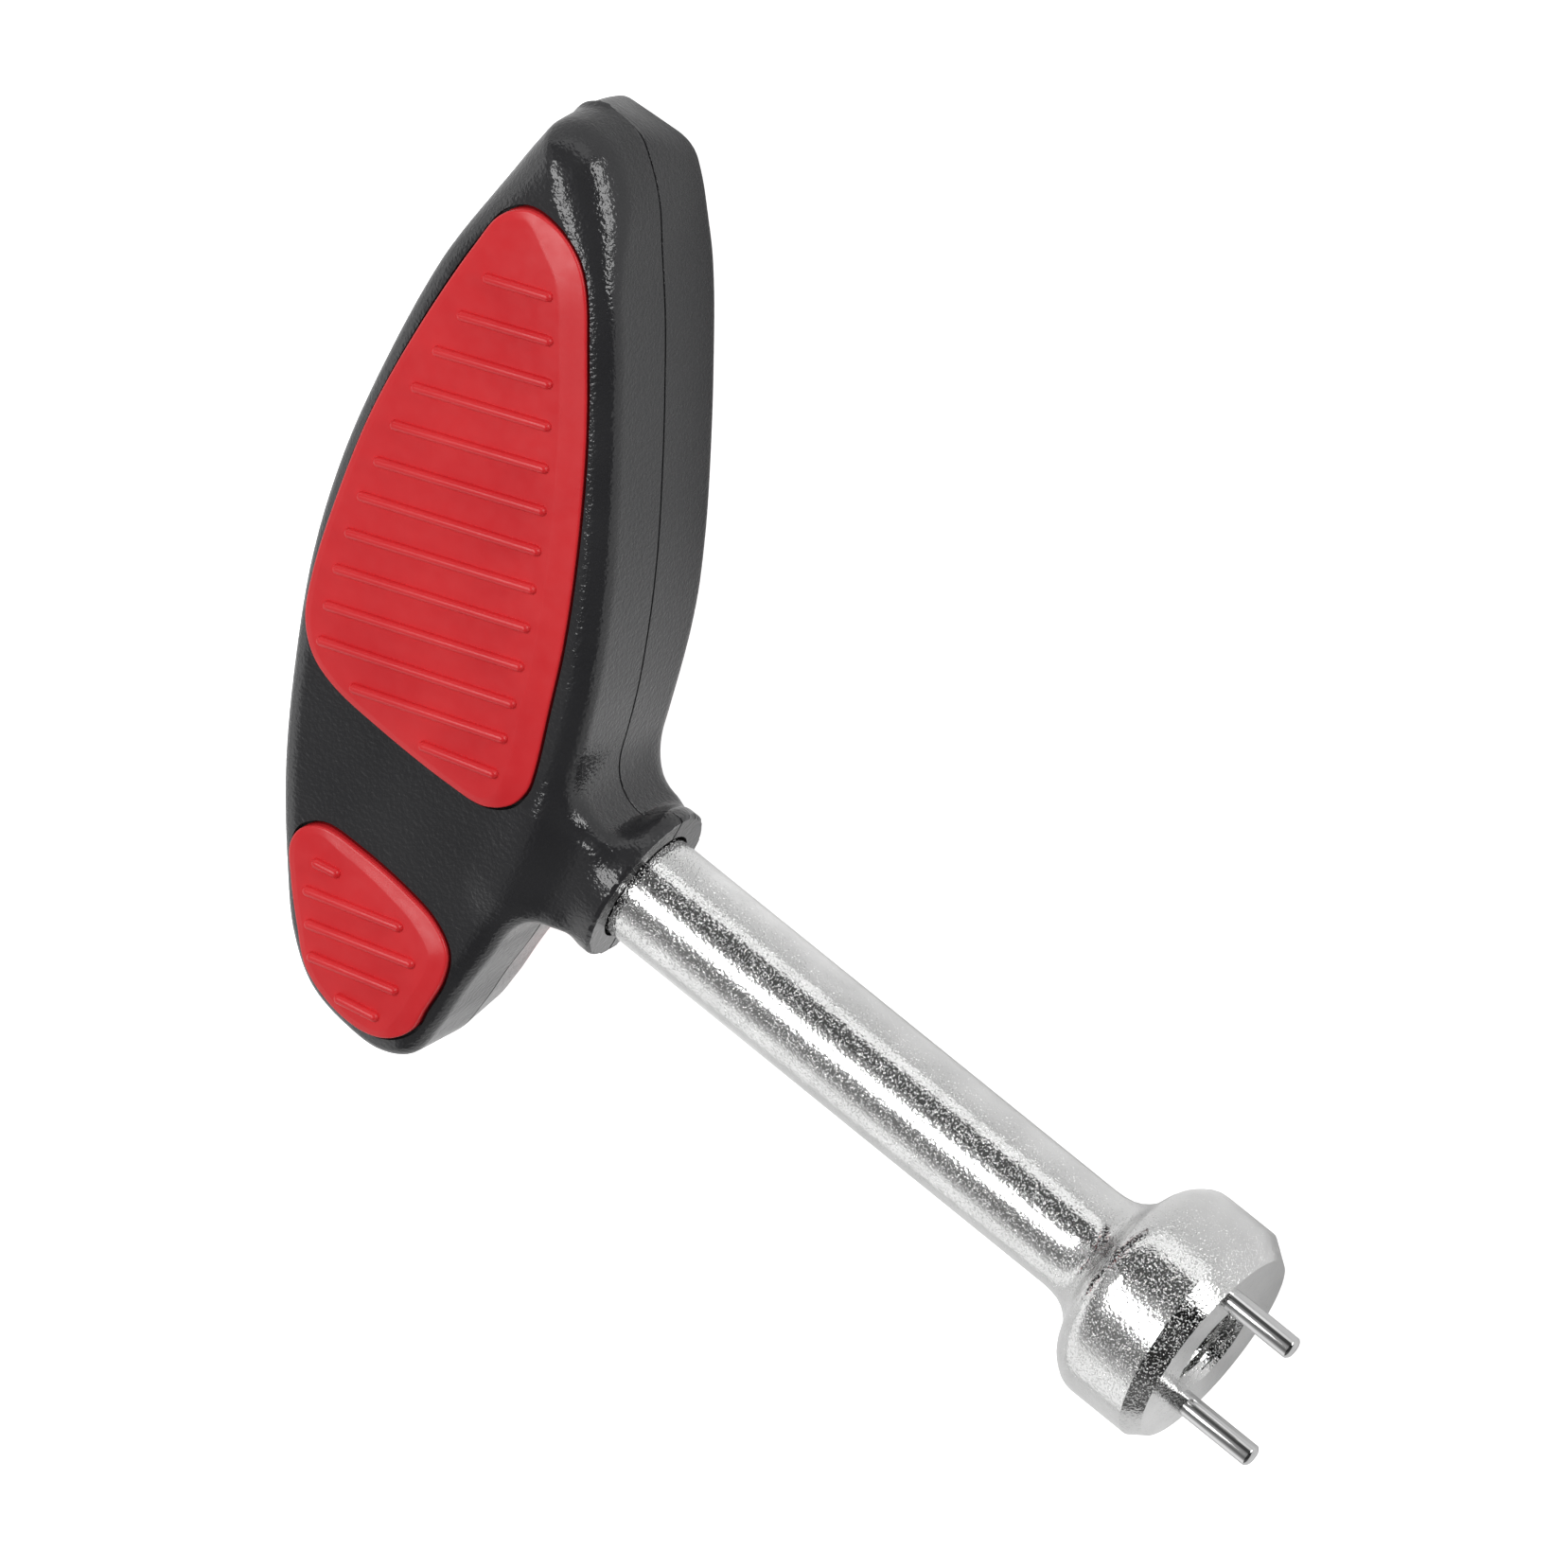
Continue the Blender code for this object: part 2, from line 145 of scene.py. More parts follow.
SHANK_RADIUS = 5.3
SHANK_TOP = 67.9
HEAD_RADIUS = 11.13
FLARE = (
    (66.9, 11.13), (60.4, 11.13), (59.7, 11.06), (59.1, 10.85), (58.55, 10.5), (58.05, 10.1),
    (57.6, 9.65), (57.15, 9.0), (56.8, 8.25), (56.5, 7.6), (56.1, 7.0), (55.5, 6.4), (54.8, 5.9),
    (54.0, 5.55), (53.0, 5.36), (52.0, SHANK_RADIUS),
)
SHANK_END = -2.0
FACE_OFFSET = (-0.3, 0.0)
FLAT_RADIUS = 9.85
FACE_RING = 5.0
CHAMFER_SLOPE = 1.45
CHAMFER_RISE = 2.2
CHAMFER_ABOVE = 0.2
BORE_RADIUS = 4.25
BORE_DEPTH = 12.0
THREAD_PITCH = 1.25
THREAD_DEPTH = 0.5
THREAD_ABOVE = 0.8
BORE_MOUTH = 4.9
PIN_RADIUS = 1.1
PIN_OFFSET = (-0.65, 0.3)
PIN_CIRCLE_RADIUS = 7.7
PIN_ANGLE = math.radians(18.6)
PIN_PROUD = {"upper": 7.3, "lower": 7.75}
PIN_CHAMFER = 0.25
PIN_SUNK = 5.0
CLEAR = 2.0  # how far a cutting form stands past what it cuts
NEARLY = 0.02  # a radius small enough to close a turned end

# ---------------------------------------------------------------- steps along the lines
HANDLE_SPAN_STEPS = 16
HANDLE_STEPS = 420
SPAN_STEPS = 12
PAD_STEPS = 260
RECESS_STEPS = 220

shank_low, shank_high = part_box("shank")
ORIGIN = Vector(
    (
        shank_high.x - SHANK_TOP * 0.001,
        (shank_low.y + shank_high.y) / 2,
        (shank_low.z + shank_high.z) / 2,
    )
)
TO_FRAME = Matrix.Translation(ORIGIN) @ Matrix.Scale(0.001, 4)


# ---------------------------------------------------------------- small helpers
def tilted(points):
    """Points of the handle's own axes (u across, v along the grip) in the spanner's axes."""
    u, v = np.asarray(points, float).T
    c, s = math.cos(HANDLE_TILT), math.sin(HANDLE_TILT)
    return np.stack([u * c - v * s, u * s + v * c], 1)


def closed_spline(stations, per_span):
    """A smooth closed line through the stations (centripetal Catmull-Rom)."""
    p = tilted(stations)
    n = len(p)
    out = []
    for i in range(n):
        a, b, c, d = p[i - 1], p[i], p[(i + 1) % n], p[(i + 2) % n]
        ta = 0.0
        tb = ta + np.linalg.norm(b - a) ** 0.5
        tc = tb + np.linalg.norm(c - b) ** 0.5
        td = tc + np.linalg.norm(d - c) ** 0.5
        for t in np.linspace(tb, tc, per_span, endpoint=False):
            ab = (a * (tb - t) + b * (t - ta)) / (tb - ta)
            bc = (b * (tc - t) + c * (t - tb)) / (tc - tb)
            cd = (c * (td - t) + d * (t - tc)) / (td - tc)
            abc = (ab * (tc - t) + bc * (t - ta)) / (tc - ta)
            bcd = (bc * (td - t) + cd * (t - tb)) / (td - tb)
            out.append((abc * (tc - t) + bcd * (t - tb)) / (tc - tb))
    return np.array(out)


def resample(line, count):
    """The closed line again, in count equal steps."""
    ring = np.vstack([line, line[:1]])
    run = np.concatenate([[0], np.cumsum(np.linalg.norm(np.diff(ring, axis=0), axis=1))])
    at = np.linspace(0, run[-1], count, endpoint=False)
    return np.stack([np.interp(at, run, ring[:, k]) for k in (0, 1)], 1)


def outward(line):
    """Unit normals of a clockwise closed line, pointing out."""
    along = np.roll(line, -1, 0) - np.roll(line, 1, 0)
    along /= np.linalg.norm(along, axis=1)[:, None]
    return np.stack([-along[:, 1], along[:, 0]], 1)


def new_mesh(name, vertices, faces):
    mesh = bpy.data.meshes.new(name)
    mesh.from_pydata([tuple(v) for v in vertices], [], faces)
    return mesh


def add(name, mesh):
    piece = bpy.data.objects.new(name, mesh)
    bpy.context.scene.collection.objects.link(piece)
    return piece


def baked(piece):
    """Replaces a piece's mesh by what its modifiers make of it."""
    bpy.context.view_layer.update()
    shape = piece.evaluated_get(bpy.context.evaluated_depsgraph_get())
    mesh = bpy.data.meshes.new_from_object(shape)
    piece.modifiers.clear()
    old = piece.data
    piece.data = mesh
    bpy.data.meshes.remove(old)
    return piece


def combine(piece, other, operation):
    change = piece.modifiers.new("join", "BOOLEAN")
    change.operation = operation
    change.solver = "EXACT"
    change.object = other
    baked(piece)
    bpy.data.objects.remove(other, do_unlink=True)


def smooth(mesh, angle):
    for face in mesh.polygons:
        face.use_smooth = True
    mesh.set_sharp_from_angle(angle=math.radians(angle))


def finish_piece(piece, node, look, side=1, angle=32.0):
    """Moves a piece to the frame, mirrored for the rear, and puts it in its node's place."""
    flip = Matrix.Diagonal((1, 1, side, 1))
    piece.data.transform(flip)
    if side < 0:
        piece.data.flip_normals()
    piece.data.transform(TO_FRAME)
    smooth(piece.data, angle)
    piece.data.materials.clear()
    piece.data.materials.append(look)
    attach(piece, "root")
    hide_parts(node)


def lofted(rings):
    """Vertices and faces of a closed loft through rings of equal length."""
    n = len(rings[0])
    vertices = np.vstack(rings)
    faces = []
    for k in range(len(rings) - 1):
        for i in range(n):
            j = (i + 1) % n
            faces.append((k * n + i, k * n + j, (k + 1) * n + j, (k + 1) * n + i))
    last = (len(rings) - 1) * n
    faces.append(tuple(range(n))[::-1])
    faces.append(tuple(range(last, last + n)))
    return vertices, faces


def eased(share):
    """A smooth step from 0 to 1."""
    share = np.clip(share, 0, 1)
    return share * share * (3 - 2 * share)


def at_height(line, z):
    return np.column_stack([line, np.broadcast_to(z, len(line))])


def turned(name, profile, offset=(0.0, 0.0), steps=128):
    """A solid turned about the shank's axis from (distance along, radius) pairs."""
    angles = np.linspace(0, 2 * math.pi, steps, endpoint=False)
    rings = []
    for along, radius in profile:
        ring = [
            np.full(steps, along),
            offset[0] + radius * np.cos(angles),
            offset[1] + radius * np.sin(angles),
        ]
        rings.append(np.stack(ring, 1))
    vertices, faces = lofted(rings)
    mesh = new_mesh(name, vertices, faces)
    outward_facing(mesh)
    return mesh


def outward_facing(mesh):
    edit = bmesh.new()
    edit.from_mesh(mesh)
    bmesh.ops.recalc_face_normals(edit, faces=edit.faces)
    edit.to_mesh(mesh)
    edit.free()


def pin_centre(sign):
    return (
        PIN_OFFSET[0] + sign * PIN_CIRCLE_RADIUS * math.cos(PIN_ANGLE),
        PIN_OFFSET[1] + sign * PIN_CIRCLE_RADIUS * math.sin(PIN_ANGLE),
    )


# ---------------------------------------------------------------- the handle's moulded form
class Moulding:
    """The handle's outer skin as a level set, with its gradient, so that a mesh can be drawn
    onto it: a drafted slab with rounded rims, blended into the neck."""

    def __init__(self):
        self.line = resample(closed_spline(HANDLE_OUTLINE, HANDLE_SPAN_STEPS), HANDLE_STEPS)
        self.normal = outward(self.line)

    def outline(self, p):
        """Signed distance to the outline in plan, and its gradient."""
        start = self.line
        step = np.roll(start, -1, 0) - start
        length = (step**2).sum(1)
        distance = np.empty(len(p))
        gradient = np.empty((len(p), 2))
        for k in range(0, len(p), 4000):
            q = p[k : k + 4000]
            rel = q[:, None, :] - start[None]
            t = np.clip((rel * step[None]).sum(2) / length, 0, 1)
            miss = rel - t[..., None] * step[None]
            near = (miss**2).sum(2).argmin(1)
            row = np.arange(len(q))
            nearest_t = t[row, near][:, None]
            normal = self.normal[near] * (1 - nearest_t)
            normal = normal + np.roll(self.normal, -1, 0)[near] * nearest_t
            gap = (miss[row, near] * normal).sum(1)
            distance[k : k + 4000] = gap
            gradient[k : k + 4000] = normal / np.linalg.norm(normal, axis=1)[:, None]
        return distance, gradient

    def rear_top_cut(self, p, d, g, z, v, front):
        """The rear half's top end, which slopes in flat to its face."""
        u = p[:, 0] * math.cos(HANDLE_TILT) + p[:, 1] * math.sin(HANDLE_TILT)
        cut = u * math.cos(REAR_CUT_TURN) + v * math.sin(REAR_CUT_TURN)
        cut = np.where(front, FAR_INSIDE, cut - REAR_CUT_PLACE + REAR_CUT_DRAFT * z)
        h = np.clip(0.5 + 0.5 * (cut - d) / REAR_CUT_BLEND, 0, 1)
        way = REAR_CUT_TURN + HANDLE_TILT
        flat = np.array([math.cos(way), math.sin(way)])
        blend = d + (cut - d) * h + REAR_CUT_BLEND * h * (1 - h)
        return blend, g * (1 - h)[:, None] + flat * h[:, None]

    def slab(self, p):
        d, g = self.outline(p[:, :2])
        z = np.abs(p[:, 2])
        v = -p[:, 0] * math.sin(HANDLE_TILT) + p[:, 1] * math.cos(HANDLE_TILT)
        front = p[:, 2] > 0
        d, g = self.rear_top_cut(p, d, g, z, v, front)
        top = eased((v - TOP_RUN[0]) / TOP_RUN[1])
        foot = eased((FOOT_RUN[0] - v) / FOOT_RUN[1])
        heel = eased((HEEL_RUN[0] - v) / HEEL_RUN[1])
        front_edge = EDGE_RADIUS + (FRONT_TOP_RADIUS - EDGE_RADIUS) * top
        rear_edge = REAR_EDGE_RADIUS + (REAR_TOP_RADIUS - REAR_EDGE_RADIUS) * top
        rear_edge += (REAR_HEEL_RADIUS - REAR_EDGE_RADIUS) * heel
        r = np.where(front, front_edge, rear_edge)
        draft = np.where(front, FRONT_DRAFT, REAR_TOP_DRAFT * top + REAR_FOOT_DRAFT * foot)
        side = d + draft * z + r
        face = z - FACE_Z + r
        a, b = np.maximum(side, 0), np.maximum(face, 0)
        size = np.hypot(a, b)
        value = size - r + np.minimum(np.maximum(side, face), 0)
        inside = size < 1e-6
        wa = np.where(inside, side > face, a / np.maximum(size, 1e-6))
        wb = np.where(inside, side <= face, b / np.maximum(size, 1e-6))
        grad = np.column_stack([g * wa[:, None], np.sign(p[:, 2]) * (wb + wa * draft)])
        return value, grad

    def neck(self, p):
        e = NECK_RIM
        rho = np.hypot(p[:, 1], p[:, 2])
        around = p[:, 1:] / np.maximum(rho, 1e-6)[:, None]
        reach = np.abs(p[:, 1:]) - (NECK_FLANK - NECK_CORNER, NECK_DEPTH - NECK_CORNER)
        over = np.maximum(reach, 0)
        far = np.hypot(*over.T)
        waist_side = far + np.minimum(reach.max(1), 0) - NECK_CORNER
        waist_way = over / np.maximum(far, 1e-6)[:, None] * np.sign(p[:, 1:])
        waist_way = np.where((far < 1e-6)[:, None], around, waist_way)
        waist = eased((-p[:, 0] - NECK_WAIST_RUN[0]) / NECK_WAIST_RUN[1])
        side = (rho - NECK_RADIUS) * (1 - waist) + waist_side * waist + e
        round_ = around * (1 - waist)[:, None] + waist_way * waist[:, None]
        end = p[:, 0] - NECK_END + e
        a, b = np.maximum(side, 0), np.maximum(end, 0)
        size = np.hypot(a, b)
        value = size - e + np.minimum(np.maximum(side, end), 0)
        inside = size < 1e-6
        wa = np.where(inside, side > end, a / np.maximum(size, 1e-6))
        wb = np.where(inside, side <= end, b / np.maximum(size, 1e-6))
        grad = np.column_stack([wb, round_ * wa[:, None]])
        root = NECK_ROOT - p[:, 0]
        behind = root > value
        grad[behind] = (-1.0, 0.0, 0.0)
        return np.maximum(value, root), grad

    def __call__(self, p):
        f, gf = self.slab(p)
        g, gg = self.neck(p)
        near = np.clip((p[:, 0] + NECK_BLEND_RUN[0]) / NECK_BLEND_RUN[1], 0.02, 1)
        k = NECK_BLEND * near * near * (3 - 2 * near)
        h = np.clip(0.5 + 0.5 * (g - f) / k, 0, 1)
        value = g + (f - g) * h - k * h * (1 - h)
        grad = gg + (gf - gg) * h[:, None]
        return value, grad


def read_points(mesh):
    p = np.empty(len(mesh.vertices) * 3)
    mesh.vertices.foreach_get("co", p)
    return p.reshape(-1, 3)


def draw_onto(mesh, form, rounds):
    """Moves a mesh's points onto a level set."""
    p = read_points(mesh)
    for _ in range(rounds):
        value, grad = form(p)
        size = np.maximum((grad**2).sum(1), 0.2)
        p -= np.clip(value / size, -1.5, 1.5)[:, None] * grad
    mesh.vertices.foreach_set("co", p.ravel())
    mesh.update()


def remeshed(piece, voxel):
    change = piece.modifiers.new("voxels", "REMESH")
    change.mode = "VOXEL"
    change.voxel_size = voxel
    return baked(piece)


def moulded_body():
    """The handle's whole skin, both halves, as one even mesh."""
    form = Moulding()
    rings = [at_height(form.line - form.normal * inset, z) for inset, z in BLANK_RINGS]
    vertices, faces = lofted(rings)
    mesh = new_mesh("slab", vertices, faces)
    outward_facing(mesh)
    body = add("moulding", mesh)
    combine(body, add("neck", turned("neck", BLANK_NECK)), "UNION")
    remeshed(body, SHELL_VOXEL)
    draw_onto(body.data, form, 4)
    remeshed(body, SHELL_VOXEL)
    draw_onto(body.data, form, 4)
    return body, form


def half_of(body, name, form, side):
    """One half of the moulding, cut just off the parting plane, with the cut's rim eased back
    to leave a fine groove."""
    piece = add(name, body.data.copy())
    edit = bmesh.new()
    edit.from_mesh(piece.data)
    for height, clear in ((PARTING_HALF, True), (PARTING_HALF + PARTING_CHAMFER, False)):
        bmesh.ops.bisect_plane(
            edit, geom=edit.verts[:] + edit.edges[:] + edit.faces[:], dist=PARTING_MERGE,
            plane_co=(0, 0, side * height), plane_no=(0, 0, side), clear_inner=clear,
        )
    rim = [v for v in edit.verts if v.is_boundary]
    _, grad = form(np.array([v.co for v in rim]))
    grad[:, 2] = 0
    grad /= np.maximum(np.linalg.norm(grad, axis=1), 1e-6)[:, None]
    for vertex, away in zip(rim, grad):
        vertex.co -= Vector(away * PARTING_DEPTH)
    bmesh.ops.holes_fill(edit, edges=[e for e in edit.edges if e.is_boundary], sides=0)
    bmesh.ops.recalc_face_normals(edit, faces=edit.faces)
    edit.to_mesh(piece.data)
    edit.free()
    return piece


def lipped(shell):
    """Raises the thin curled flash that stands on the parting edge at the handle's top."""
    p = read_points(shell.data)
    u = p[:, 0] * math.cos(HANDLE_TILT) + p[:, 1] * math.sin(HANDLE_TILT)
    v = -p[:, 0] * math.sin(HANDLE_TILT) + p[:, 1] * math.cos(HANDLE_TILT)
    run = eased((u - FLASH_START[0]) / FLASH_START[1]) * eased((FLASH_STOP[0] - u) / FLASH_STOP[1])
    run = run * (v > FLASH_ABOVE)
    rise = FLASH_RISE * run * np.exp(-((p[:, 2] / FLASH_WIDTH) ** 2))
    p[:, 0] -= rise * math.sin(HANDLE_TILT)
    p[:, 1] += rise * math.cos(HANDLE_TILT)
    shell.data.vertices.foreach_set("co", p.ravel())
    shell.data.update()


def recess(outline, side):
    """The form that cuts a pad's recess, a gap wider than the pad all round."""
    line = resample(closed_spline(outline, SPAN_STEPS), RECESS_STEPS)
    line = line + outward(line) * (PAD_GAP if side > 0 else PAD_GAP - REAR_PAD_INSET)
    vertices, faces = lofted([at_height(line, side * RECESS_Z), at_height(line, side * CUT_TOP)])
    mesh = new_mesh("recess", vertices, faces)
    outward_facing(mesh)
    return add("recess", mesh)


def handle_shells(look):
    body, form = moulded_body()
    for label, side in (("front", 1), ("rear", -1)):
        name = f"moulded_shell_{label}"
        shell = half_of(body, name, form, side)
        if side > 0:
            lipped(shell)
        for outline in (LARGE_PAD, SMALL_PAD):
            combine(shell, recess(outline, side), "DIFFERENCE")
        bored = [(SHANK_END, SHANK_HOLE_RADIUS), (CLEAR, SHANK_HOLE_RADIUS)]
        hole = add("hole", turned("hole", bored, steps=96))
        combine(shell, hole, "DIFFERENCE")
        finish_piece(shell, f"handle_shell_{label}", look, 1, 28.0)
    bpy.data.objects.remove(body, do_unlink=True)


# ---------------------------------------------------------------- grip pads
def pad_body(outline, facet_width, facet_drop, facing, side):
    """The pad's block: upright side, eased rim, and a facet that falls to the rim on the side
    that faces the given way."""
    line = resample(closed_spline(outline, SPAN_STEPS), PAD_STEPS)
    if side < 0:
        line = line - outward(line) * REAR_PAD_INSET
    normal = outward(line)
    toward = normal @ np.array(facing) * PAD_FACET_TURN[0] - PAD_FACET_TURN[1]
    toward = np.clip(toward, 0, 1)
    toward = toward * toward * (3 - 2 * toward)
    for _ in range(12):
        toward = (np.roll(toward, 1) + 2 * toward + np.roll(toward, -1)) / 4
    width = PAD_EDGE_WIDTH + (facet_width - PAD_EDGE_WIDTH) * toward
    drop = PAD_EDGE_DROP + (facet_drop - PAD_EDGE_DROP) * toward
    ease = PAD_RIM
    rings = [at_height(line, RECESS_Z + 0.1), at_height(line, PAD_TOP - drop - ease)]
    for step in (1, 2, 3, 4):
        turn = step / 4 * math.pi / 2
        inset = ease * (1 - math.cos(turn))
        rise = ease * (1 - math.sin(turn))
        rings.append(at_height(line - normal * inset, PAD_TOP - drop - rise))
    for share in (0.5, 0.88):
        inner = line - normal * (ease + (width - ease) * share)[:, None]
        rings.append(at_height(inner, PAD_TOP - drop * (1 - share) ** 1.1))
    inner = line - normal * width[:, None]
    for _ in range(6):
        inner = (np.roll(inner, 1, 0) + 2 * inner + np.roll(inner, -1, 0)) / 4
    rings.append(at_height(inner, PAD_TOP))
    return lofted(rings)


def rib(start, end):
    """A low half-round bar with rounded ends on the pad's top."""
    start, end = np.asarray(start), np.asarray(end)
    along = (end - start) / np.linalg.norm(end - start)
    across = np.array([-along[1], along[0]])
    arc = np.linspace(0, math.pi, 13)
    turns = np.linspace(math.pi / 2, 0, RIB_END_STEPS, endpoint=False)
    stations = []
    for turn in turns:
        stations.append((start + along * RIB_HALF_WIDTH * (1 - math.sin(turn)), math.cos(turn)))
    stations.append((start + along * RIB_HALF_WIDTH, 1.0))
    stations.append((end - along * RIB_HALF_WIDTH, 1.0))
    for turn in turns[::-1]:
        stations.append((end - along * RIB_HALF_WIDTH * (1 - math.sin(turn)), math.cos(turn)))
    rings = []
    for centre, size in stations:
        size = max(size, NEARLY)
        plan = centre + across * (np.cos(arc) * RIB_HALF_WIDTH * size)[:, None]
        height = PAD_TOP + np.sin(arc) * RIB_HEIGHT * size - RIB_BEDDED
        low = PAD_TOP - RIB_SUNK
        ring = np.vstack([
            np.column_stack([plan, height]),
            [[*plan[-1], low]],
            [[*plan[0], low]],
        ])
        rings.append(ring)
    return lofted(rings)


def grip_pad(label, size, side, outline, ribs, look):
    facing = (math.cos(HANDLE_TILT), math.sin(HANDLE_TILT))
    vertices, faces = pad_body(outline, *PAD_FACETS[size], facing, side)
    vertices, faces = [vertices], list(faces)
    for ends in ribs:
        more, more_faces = rib(*tilted(ends))
        base = sum(len(part) for part in vertices)
        vertices.append(more)
        faces += [tuple(base + i for i in face) for face in more_faces]
    mesh = new_mesh(f"pad_{size}_{label}", np.vstack(vertices), faces)
    outward_facing(mesh)
    pad = add(f"ribbed_pad_{size}_{label}", mesh)
    finish_piece(pad, f"grip_pad_{size}_{label}", look, side, 40.0)


# ---------------------------------------------------------------- shank and pins
def threaded_plug():
    """A screw-thread form, to cut the head's bore with."""
    steps = 96
    per_turn = 10
    turns = BORE_DEPTH / THREAD_PITCH
    count = int(turns * per_turn)
    angles = np.linspace(0, 2 * math.pi, steps, endpoint=False)
    rings = []
    for k in range(count + 1):
        along = SHANK_TOP + THREAD_ABOVE - k / per_turn * THREAD_PITCH
        phase = (along / THREAD_PITCH + angles / (2 * math.pi)) % 1.0
        radius = BORE_RADIUS - THREAD_DEPTH / 2 + THREAD_DEPTH * (1 - np.abs(phase * 2 - 1))
        radius = np.maximum(radius, BORE_MOUTH + along - SHANK_TOP)
        y = FACE_OFFSET[0] + radius * np.cos(angles)
        z = FACE_OFFSET[1] + radius * np.sin(angles)
        rings.append(np.stack([np.full(steps, along), y, z], 1))
    vertices, faces = lofted(rings)
    mesh = new_mesh("thread", vertices, faces)
    outward_facing(mesh)
    return add("thread", mesh)


def shank(look):
    """The cast shank with its head: turned, chamfered at the face and threaded."""
    profile = [(SHANK_TOP, NEARLY), (SHANK_TOP, FACE_RING), (SHANK_TOP, HEAD_RADIUS), *FLARE]
    profile += [(30.0, SHANK_RADIUS), (0.0, SHANK_RADIUS), (SHANK_END + 0.1, SHANK_RADIUS)]
    profile += [(SHANK_END + 0.1, NEARLY)]
    piece = add("cast_shank", turned("cast_shank", profile, steps=160))
    start = SHANK_TOP + CHAMFER_ABOVE * CHAMFER_SLOPE
    ring = [(start, FLAT_RADIUS - CHAMFER_ABOVE), (start, FLAT_RADIUS + CHAMFER_RISE)]
    ring += [(SHANK_TOP - CHAMFER_RISE * CHAMFER_SLOPE, FLAT_RADIUS + CHAMFER_RISE)]
    combine(piece, add("chamfer", ring_of(ring)), "DIFFERENCE")
    combine(piece, threaded_plug(), "DIFFERENCE")
    finish_piece(piece, "shank", look, 1, 24.0)


def ring_of(section, steps=160):
    """A closed ring turned from a closed section."""
    angles = np.linspace(0, 2 * math.pi, steps, endpoint=False)
    n = len(section)
    vertices = []
    for a in angles:
        for along, radius in section:
            y = FACE_OFFSET[0] + radius * math.cos(a)
            z = FACE_OFFSET[1] + radius * math.sin(a)
            vertices.append((along, y, z))
    faces = []
    for i in range(steps):
        for k in range(n):
            j, m = (i + 1) % steps, (k + 1) % n
            faces.append((i * n + k, i * n + m, j * n + m, j * n + k))
    mesh = new_mesh("ring", vertices, faces)
    outward_facing(mesh)
    return mesh


def drive_pin(label, sign, look):
    """A round ground pin with a small chamfer at its tip, sunk into the head."""
    tip = SHANK_TOP + PIN_PROUD[label]
    c = PIN_CHAMFER
    profile = [(tip, NEARLY), (tip, PIN_RADIUS - c - 0.05), (tip - 0.04, PIN_RADIUS - c + 0.03)]
    profile += [(tip - c + 0.03, PIN_RADIUS - 0.04), (tip - c - 0.06, PIN_RADIUS)]
    profile += [(SHANK_TOP - PIN_SUNK, PIN_RADIUS), (SHANK_TOP - PIN_SUNK, NEARLY)]
    piece = add(f"ground_pin_{label}", turned("pin", profile, pin_centre(sign), 64))
    finish_piece(piece, f"drive_pin_{label}", look, 1, 30.0)


# ---------------------------------------------------------------- materials
def shader(name):
    made = bpy.data.materials.new(name)
    made.use_nodes = True
    tree = made.node_tree
    return made, tree, tree.nodes["Principled BSDF"]


def noise(tree, scale, detail=2.0, rough=0.5, stretch=None):
    """Noise of scale cells to the metre, stretched along the axes if asked."""
    place = tree.nodes.new("ShaderNodeTexCoord")
    made = tree.nodes.new("ShaderNodeTexNoise")
    made.inputs["Scale"].default_value = scale
    made.inputs["Detail"].default_value = detail
    made.inputs["Roughness"].default_value = rough
    source = place.outputs["Object"]
    if stretch:
        mapping = tree.nodes.new("ShaderNodeMapping")
        mapping.inputs["Scale"].default_value = stretch
        tree.links.new(source, mapping.inputs["Vector"])
        source = mapping.outputs["Vector"]
    tree.links.new(source, made.inputs["Vector"])
    return made.outputs["Fac"]


def ramp(tree, source, stops):
    made = tree.nodes.new("ShaderNodeValToRGB")
    while len(made.color_ramp.elements) < len(stops):
        made.color_ramp.elements.new(0.5)
    for element, (at, colour) in zip(made.color_ramp.elements, stops):
        element.position = at
        element.color = (*colour, 1.0) if len(colour) == 3 else colour
    tree.links.new(source, made.inputs["Fac"])
    return made.outputs["Color"]


def spread(tree, source, low, high, start=0.3, stop=0.7):
    """A value that runs from low to high while the source runs from start to stop."""
    made = tree.nodes.new("ShaderNodeMapRange")
    made.inputs["From Min"].default_value = start
    made.inputs["From Max"].default_value = stop
    made.inputs["To Min"].default_value = low
    made.inputs["To Max"].default_value = high
    tree.links.new(source, made.inputs["Value"])
    return made.outputs["Result"]


def bump(tree, source, strength, distance, under=None):
    """A bump of the given depth in metres, laid over another where one is given."""
    made = tree.nodes.new("ShaderNodeBump")
    made.inputs["Strength"].default_value = strength
    made.inputs["Distance"].default_value = distance
    tree.links.new(source, made.inputs["Height"])
    if under is not None:
        tree.links.new(under, made.inputs["Normal"])
    return made.outputs["Normal"]


def black_plastic():
    """Moulded plastic: near black, a half-gloss skin with a fine grain."""
    made, tree, surface = shader("black_grained_plastic")
    surface.inputs["Specular IOR Level"].default_value = 0.55
    patches = noise(tree, 90.0, 3.0)
    colour = ramp(tree, patches, ((0.3, (0.024, 0.024, 0.026)), (0.7, (0.032, 0.032, 0.034))))
    tree.links.new(colour, surface.inputs["Base Color"])
    tree.links.new(spread(tree, noise(tree, 1400.0), 0.1, 0.17), surface.inputs["Roughness"])
    waves = bump(tree, noise(tree, 1300.0, 2.0, 0.5), 0.5, 0.00006)
    grain = bump(tree, noise(tree, 2800.0, 1.5, 0.5), 1.0, 0.00006, waves)
    tree.links.new(grain, surface.inputs["Normal"])
    return made


